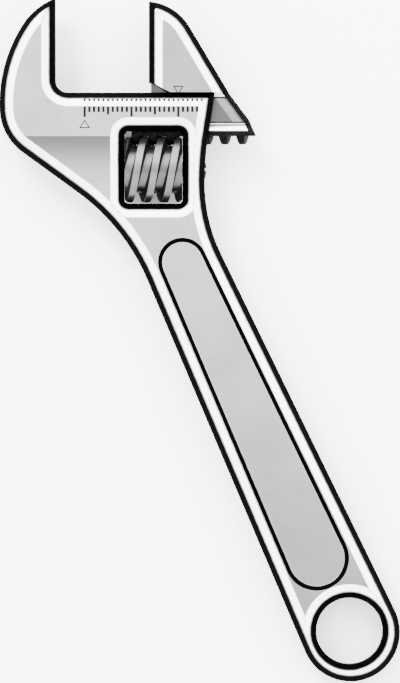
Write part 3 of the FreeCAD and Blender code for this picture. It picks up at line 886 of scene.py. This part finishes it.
def machined_steel(name, level, rough):
    """Tool marks along one direction, darker where old grease has gathered."""
    finish = Finish(name, Metallic=1.0, Specular_IOR_Level=0.3)
    marks = finish.noise(0.14, (1, 12, 12), detail=4)
    oily = finish.step(finish.noise(2.6, detail=3), 0.38, 0.72, 0, 0.3)
    colour = finish.blend(marks, grey(level * 0.82), grey(level * 1.12))
    colour = finish.blend(oily, colour, grey(level * 0.45, 0.04))
    finish.relief(marks, 0.008)
    gloss = finish.step(marks, 0.2, 0.8, rough * 1.25, rough * 0.85)
    return finish.look(Base_Color=colour, Roughness=gloss)


def worm_steel(name):
    """Turned crests and root, black on the flanks of the thread."""
    finish = Finish(name, Specular_IOR_Level=0.02)
    radius = finish.from_axis(WORM_Y)
    marks = finish.noise(0.14, (10, 1, 1), detail=4)
    oily = finish.step(finish.noise(2.6, detail=3), 0.38, 0.72, 0, 0.3)
    root = finish.step(radius, WORM_ROOT + 0.05, WORM_ROOT + 0.25, 1, 0)
    crest = finish.step(radius, WORM_RADIUS - 0.2, WORM_RADIUS - 0.08)
    metal = finish.blend(crest, grey(0.085), grey(0.125))
    metal = finish.blend(finish.math("MULTIPLY", marks, 0.5), metal, grey(0.06))
    metal = finish.blend(oily, metal, grey(0.06, 0.04))
    flank = finish.math("SUBTRACT", 1.0, finish.math("MAXIMUM", root, crest))
    finish.relief(marks, 0.008)
    rough = finish.step(marks, 0.2, 0.8, 0.42, 0.3)
    return finish.look(Base_Color=finish.blend(flank, metal, grey(0.004, 0.04)),
                       Metallic=finish.math("SUBTRACT", 1.0, flank),
                       Roughness=finish.math("ADD", rough, finish.math("MULTIPLY", flank, 0.2)))


def black_steel(name):
    """Blackened steel, rubbed brighter here and there."""
    finish = Finish(name, Specular_IOR_Level=0.02)
    pits = finish.noise(0.3, detail=4)
    rubbed = finish.step(finish.noise(1.1), 0.7, 0.85, 0, 0.3)
    colour = finish.blend(rubbed, finish.blend(pits, grey(0.001), grey(0.005, 0.04)), grey(0.06))
    finish.relief(pits, 0.01)
    return finish.look(Base_Color=colour, Metallic=finish.step(rubbed, 0, 0.3, 0.0, 0.8),
                       Roughness=finish.step(pits, 0.3, 0.7, 0.55, 0.42))


def ink(name):
    """Black in the bottom of the scale's marks."""
    finish = Finish(name, Roughness=0.8, Specular_IOR_Level=0.03)
    specks = finish.noise(0.2, detail=3)
    finish.relief(specks, 0.01)
    return finish.look(Base_Color=finish.blend(specks, grey(0.002), grey(0.008)))


def shade(piece):
    """Smooth shading that keeps hard corners hard and flat faces flat."""
    piece.data.polygons.foreach_set("use_smooth", [True] * len(piece.data.polygons))
    piece.data.set_sharp_from_angle(angle=SHARP_ANGLE)
    modifier = piece.modifiers.new("even_normals", "WEIGHTED_NORMAL")
    modifier.keep_sharp = True
    return piece


def dress(piece, body, slot, *materials):
    """Give a piece its materials and the body it rides on; the slot argument is not used."""
    if piece.data.materials:
        piece.data.materials.clear()
    for material in materials:
        piece.data.materials.append(material)
    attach(piece, body)


forging = shade(build_frame())
jaw = shade(build_jaw())
marks_black = ink("mark_black")
# The slot's and bores' machined steel is set much darker than the spring's: painted shade inside them.
slot_steel = machined_steel("slot_steel", level=0.09, rough=0.45)
dress(forging, "frame", "frame_steel", forged_steel("frame_finish", satin=0.31, grain_turn=1.1),
      slot_steel, marks_black)
dress(jaw, "jaw", "jaw_steel", forged_steel("jaw_finish", satin=0.22, grain_turn=0.2),
      rod_and_web_steel("rod_and_web"), marks_black)
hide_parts("wrench_frame")
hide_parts("movable_jaw")
dress(frame["nodes"]["adjusting_worm"], "worm", "worm_steel", worm_steel("worm_finish"))
dress(frame["nodes"]["worm_pin"], "frame", "pin_steel", black_steel("pin_finish"))
dress(frame["nodes"]["worm_spring"], "frame", "spring_steel",
      machined_steel("spring_finish", level=0.35, rough=0.3))


# ---------------------------------------------------------------- floor, light and camera
VIEW_CENTRE = Vector((30.96, -64.25, 0)) * MM
VIEW_HEIGHT = 146.36 * MM
LENS = 400.0
CLIP_NEAR, CLIP_FAR = 0.01, 20
FLOOR_HALF = 8.0
WORLD_GLOW = 9.0
WORLD_TILT = 0.3          # how much brighter the world is towards +Y
DOME_BELOW, DOME_OVERHEAD = 0.75, 0.3                # levels from the horizon down, and at the top
DOME_BANDS = ((0.5, 0.9), (0.75, 1.0), (0.92, 1.0), (0.98, 0.4))     # (height, level) in between


def add_floor():
    """A plain pale floor under the worm and the handle's end, where the wrench touches it."""
    touch_y, touch_z = WORM_Y * MM, WORM_LOW.z * MM
    slope = (-HANDLE_FACE * MM - touch_z) / (FRAME_LOW.y * MM - touch_y)
    mesh = bpy.data.meshes.new("floor")
    outline = [(x * FLOOR_HALF, y * FLOOR_HALF) for x, y in ((-1, -1), (1, -1), (1, 1), (-1, 1))]
    mesh.from_pydata([(x, y, touch_z + slope * (y - touch_y)) for x, y in outline], [], [(0, 1, 2, 3)])
    floor = bpy.data.objects.new("floor", mesh)
    bpy.context.scene.collection.objects.link(floor)
    finish = Finish("floor_paper", Roughness=0.9, Specular_IOR_Level=0.1)
    fibres = finish.noise(0.6, detail=4)
    finish.relief(fibres, 0.01)
    mesh.materials.append(finish.look(Base_Color=finish.blend(fibres, grey(0.90), grey(0.93))))


def add_light(name, place, aim, size, power):
    light = bpy.data.lights.new(name, "AREA")
    light.shape = "DISK"
    light.size = size
    light.energy = power
    lamp = bpy.data.objects.new(name, light)
    lamp.location = place
    lamp.rotation_mode = "QUATERNION"
    lamp.rotation_quaternion = (Vector(place) - Vector(aim)).to_track_quat("Z", "Y")
    lamp.visible_camera = False
    bpy.context.scene.collection.objects.link(lamp)


def add_world():
    """A pale studio: soft straight overhead, brighter in a wide ring round that and towards +Y."""
    world = bpy.data.worlds.new("studio")
    world.use_nodes = True
    bpy.context.scene.world = world
    nodes, links = world.node_tree.nodes, world.node_tree.links
    split, dome = nodes.new("ShaderNodeSeparateXYZ"), nodes.new("ShaderNodeValToRGB")
    tilt, glow = nodes.new("ShaderNodeMath"), nodes.new("ShaderNodeMath")
    links.new(nodes.new("ShaderNodeTexCoord").outputs["Generated"], split.inputs[0])
    links.new(split.outputs["Z"], dome.inputs["Fac"])
    stops = dome.color_ramp.elements
    stops[0].position, stops[0].color = 0.0, grey(DOME_BELOW)
    stops[1].position, stops[1].color = 1.0, grey(DOME_OVERHEAD)
    for position, level in DOME_BANDS:
        stops.new(position).color = grey(level)
    tilt.operation, glow.operation = "MULTIPLY_ADD", "MULTIPLY"
    links.new(split.outputs["Y"], tilt.inputs[0])
    tilt.inputs[1].default_value, tilt.inputs[2].default_value = WORLD_TILT, 1.0
    links.new(tilt.outputs[0], glow.inputs[0])
    glow.inputs[1].default_value = WORLD_GLOW
    links.new(dome.outputs["Color"], nodes["Background"].inputs["Color"])
    links.new(glow.outputs[0], nodes["Background"].inputs["Strength"])


def add_camera():
    """Straight down, so far off that it is nearly without perspective."""
    camera = bpy.data.objects.new("camera", bpy.data.cameras.new("camera"))
    camera.data.lens = LENS
    distance = VIEW_HEIGHT * LENS / camera.data.sensor_width
    camera.location = VIEW_CENTRE + Vector((0, 0, distance))
    camera.data.clip_start, camera.data.clip_end = CLIP_NEAR, CLIP_FAR
    bpy.context.scene.collection.objects.link(camera)
    bpy.context.scene.camera = camera


add_floor()
add_world()
add_light("key", place=(-0.3, 0.5, 0.5), aim=(0.02, -0.03, 0), size=0.3, power=19)
add_camera()
